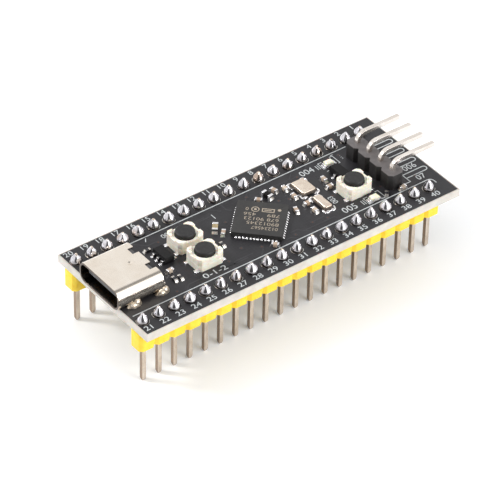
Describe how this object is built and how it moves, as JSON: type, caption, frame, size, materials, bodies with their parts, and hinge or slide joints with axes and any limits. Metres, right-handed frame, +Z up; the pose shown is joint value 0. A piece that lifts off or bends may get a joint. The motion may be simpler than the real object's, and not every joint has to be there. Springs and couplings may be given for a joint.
{
  "type": "microcontroller development board",
  "caption": "Small microcontroller board with two soldered pin rows, USB-C socket, three push buttons, crystals, LEDs and an upright bent-pin debug header.",
  "frame": {"origin": "centre of the two-row pin grid, in the plane of the pin tips the board stands on", "axes": "+X along the board from the USB end to the debug header end, +Y from the front pin row to the back pin row, +Z up through the component side"},
  "size_m": [0.0538, 0.0204, 0.0142],
  "materials": {
    "board_laminate": "semi-gloss charcoal solder mask over pale glass laminate",
    "yellow_insulator": "moulded, satin",
    "tinned_pins": "plated, satin",
    "black_insulator": "moulded, satin",
    "usb_shell_metal": "drawn, satin",
    "usb_insulator": "moulded",
    "gold_contacts": "plated, bright",
    "switch_housing": "moulded, satin",
    "button_cap": "moulded, matte",
    "spring_dome": "rolled",
    "mcu_moulding": "moulded, matte",
    "small_ic_moulding": "moulded, matte",
    "crystal_ceramic": "fired, matte",
    "crystal_lid": "plated, satin",
    "led_substrate": "matte",
    "led_lens": "clear-coated phosphor",
    "capacitor_ceramic": "fired, satin",
    "resistor_film": "glazed film",
    "ferrite": "sintered",
    "solder_tin": "reflowed, bright"
  },
  "bodies": {
    "board": {"back_header_insulator": "yellow_insulator", "back_header_pins": "tinned_pins", "back_header_solder": "solder_tin", "boot_switch_base": "switch_housing", "boot_switch_cover": "switch_housing", "boot_switch_dome": "spring_dome", "boot_switch_feet": "solder_tin", "chip_part_solder": "solder_tin", "clock_crystal_base": "crystal_ceramic", "clock_crystal_lid": "crystal_lid", "clock_crystal_pads": "solder_tin", "debug_header_insulator": "black_insulator", "debug_header_pins": "tinned_pins", "debug_header_solder": "solder_tin", "ferrite_bodies": "ferrite", "ferrite_ends": "solder_tin", "front_header_insulator": "yellow_insulator", "front_header_pins": "tinned_pins", "front_header_solder": "solder_tin", "large_capacitor_bodies": "capacitor_ceramic", "large_capacitor_ends": "solder_tin", "main_crystal_base": "crystal_ceramic", "main_crystal_lid": "crystal_lid", "main_crystal_pads": "solder_tin", "mcu_package": "mcu_moulding", "mcu_pads": "solder_tin", "pcb_board": "board_laminate", "power_led_base": "led_substrate", "power_led_ends": "solder_tin", "power_led_lens": "led_lens", "regulator_body": "small_ic_moulding", "regulator_leads": "solder_tin", "reset_switch_base": "switch_housing", "reset_switch_cover": "switch_housing", "reset_switch_dome": "spring_dome", "reset_switch_feet": "solder_tin", "resistor_bodies": "resistor_film", "resistor_ends": "solder_tin", "small_capacitor_bodies": "capacitor_ceramic", "small_capacitor_ends": "solder_tin", "transistor_body": "small_ic_moulding", "transistor_leads": "solder_tin", "usb_contacts": "gold_contacts", "usb_leg_solder": "solder_tin", "usb_shell": "usb_shell_metal", "usb_tails": "solder_tin", "usb_tongue": "usb_insulator", "user_led_base": "led_substrate", "user_led_ends": "solder_tin", "user_led_lens": "led_lens", "user_switch_base": "switch_housing", "user_switch_cover": "switch_housing", "user_switch_dome": "spring_dome", "user_switch_feet": "solder_tin"},
    "reset_button": {"reset_switch_button": "button_cap"},
    "boot_button": {"boot_switch_button": "button_cap"},
    "user_button": {"user_switch_button": "button_cap"}
  },
  "joints": [
    {"name": "reset_press", "type": "slide", "parent": "board", "child": "reset_button", "axis": [0, 0, -1], "range_m": [0, 0.00025], "stiffness_N_per_m": 5000, "deforming": ["reset_switch_dome"]},
    {"name": "boot_press", "type": "slide", "parent": "board", "child": "boot_button", "axis": [0, 0, -1], "range_m": [0, 0.00025], "stiffness_N_per_m": 5000, "deforming": ["boot_switch_dome"]},
    {"name": "user_press", "type": "slide", "parent": "board", "child": "user_button", "axis": [0, 0, -1], "range_m": [0, 0.00025], "stiffness_N_per_m": 5000, "deforming": ["user_switch_dome"]}
  ]
}
